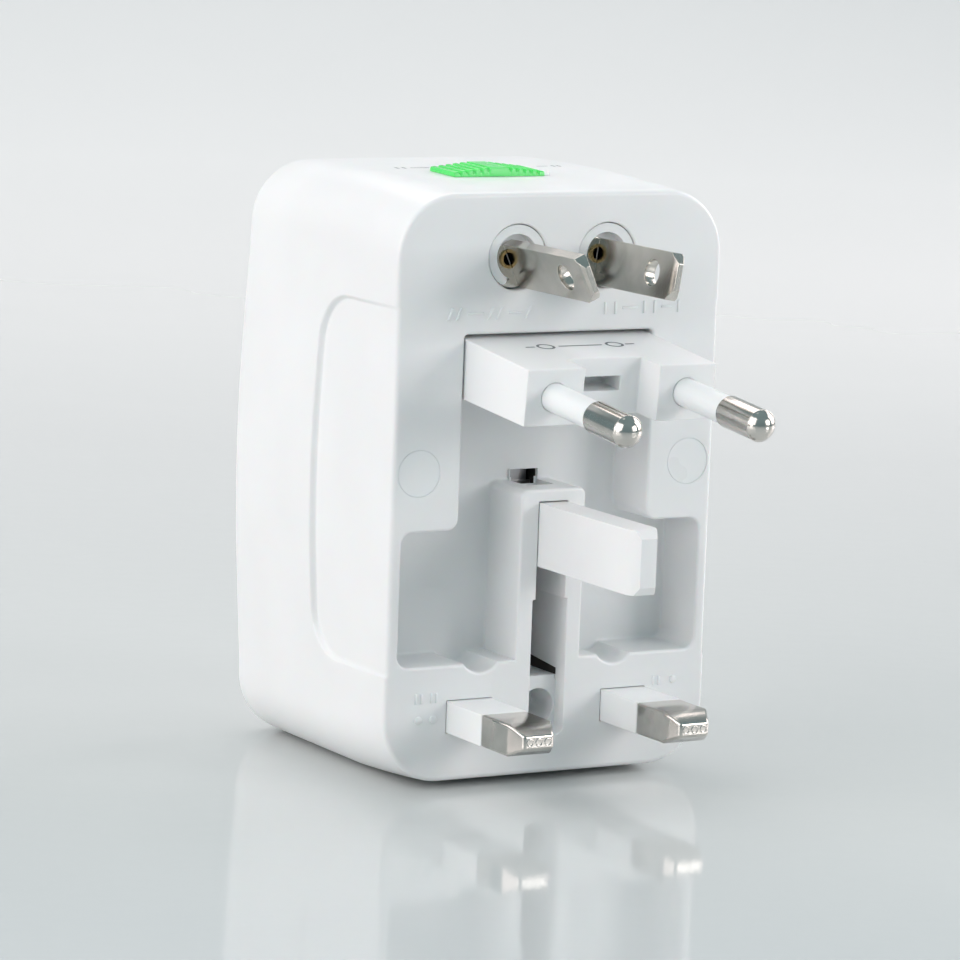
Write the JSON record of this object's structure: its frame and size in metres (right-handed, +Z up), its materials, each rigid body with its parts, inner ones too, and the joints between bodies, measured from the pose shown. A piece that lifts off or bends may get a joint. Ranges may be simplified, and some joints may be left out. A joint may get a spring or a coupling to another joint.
{
  "type": "universal travel adapter",
  "caption": "Hand-sized white travel adapter: fold-down round pins, turning flat blades, sliding rectangular pins with a folding earth pin, a sliding selector and a universal socket behind.",
  "frame": {"origin": "centre of the flat the adapter stands on, midway between the pin face and the socket face", "axes": "+Z up; -Y out of the pin face, the way the plug pins point; +X to the right seen from the pin side"},
  "size_m": [0.0494, 0.0751, 0.0761],
  "materials": {
    "white_plastic": "satin moulded",
    "inner_plastic": "matt moulded",
    "green_plastic": "semi-gloss moulded",
    "nickel_plate": "satin nickel plate",
    "brass": "stamped",
    "steel": "bright zinc",
    "amber_lens": "clear tinted",
    "lamp_glass": "clear"
  },
  "bodies": {
    "housing": {"plug_side_housing": "white_plastic", "socket_side_cover": "white_plastic", "screw_covers": "white_plastic", "case_screws": "steel", "selector_spring": "steel", "earth_pin_shaft": "steel", "earth_pin_spring": "steel", "block_hinge_pin": "steel", "fold_latch_spring": "steel", "contact_carrier": "inner_plastic", "live_contact": "brass", "neutral_contact": "brass", "live_bus_bar": "brass", "neutral_bus_bar": "brass", "carrier_screws": "steel", "shutter_spring": "steel", "indicator_lens": "amber_lens", "indicator_lamp": "lamp_glass"},
    "selector": {"selector_knob": "green_plastic", "selector_lock_plate": "inner_plastic"},
    "blade_slider": {"blade_carriage": "inner_plastic", "blade_wipers": "brass"},
    "left_blade_turner": {"left_blade_disc": "white_plastic", "left_blade": "nickel_plate", "left_rivet": "brass"},
    "right_blade_turner": {"right_blade_disc": "white_plastic", "right_blade": "nickel_plate", "right_rivet": "brass"},
    "pin_slider": {"pin_carriage": "white_plastic", "live_pin": "nickel_plate", "neutral_pin": "nickel_plate", "pin_wipers": "brass"},
    "earth_lever": {"earth_pin": "white_plastic"},
    "round_pin_plug": {"round_pin_block": "white_plastic", "round_pin_live": "nickel_plate", "round_pin_neutral": "nickel_plate", "round_pin_sleeves": "white_plastic"},
    "shutter": {"safety_shutter": "inner_plastic"}
  },
  "joints": [
    {"name": "selector_slide", "type": "slide", "parent": "housing", "child": "selector", "axis": [1, 0, 0], "range_m": [0, 0.0048]},
    {"name": "blade_carriage_slide", "type": "slide", "parent": "housing", "child": "blade_slider", "axis": [0, 1, 0], "range_m": [0, 0.0169]},
    {"name": "left_blade_turn", "type": "hinge", "parent": "blade_slider", "child": "left_blade_turner", "pos_m": [-0.0064, -0.021, 0.066], "axis": [0, 1, 0], "range_deg": [-6, 24]},
    {"name": "right_blade_turn", "type": "hinge", "parent": "blade_slider", "child": "right_blade_turner", "pos_m": [0.0064, -0.021, 0.066], "axis": [0, 1, 0], "range_deg": [-9, 21]},
    {"name": "pin_carriage_slide", "type": "slide", "parent": "housing", "child": "pin_slider", "axis": [0, 1, 0], "range_m": [0, 0.0172]},
    {"name": "earth_pin_fold", "type": "hinge", "parent": "housing", "child": "earth_lever", "pos_m": [0, -0.018, 0.0323], "axis": [1, 0, 0], "range_deg": [0, 90]},
    {"name": "round_pin_fold", "type": "hinge", "parent": "housing", "child": "round_pin_plug", "pos_m": [0, -0.017, 0.0527], "axis": [1, 0, 0], "range_deg": [-6, 84]},
    {"name": "shutter_slide", "type": "slide", "parent": "housing", "child": "shutter", "axis": [0, 0, -1], "range_m": [0, 0.009], "stiffness_N_per_m": 120, "springref_m": -0.003, "deforming": ["shutter_spring"]}
  ],
  "couplings": [
    {"joint": "earth_pin_fold", "follows": "pin_carriage_slide", "rad_per_m": 91.3}
  ]
}
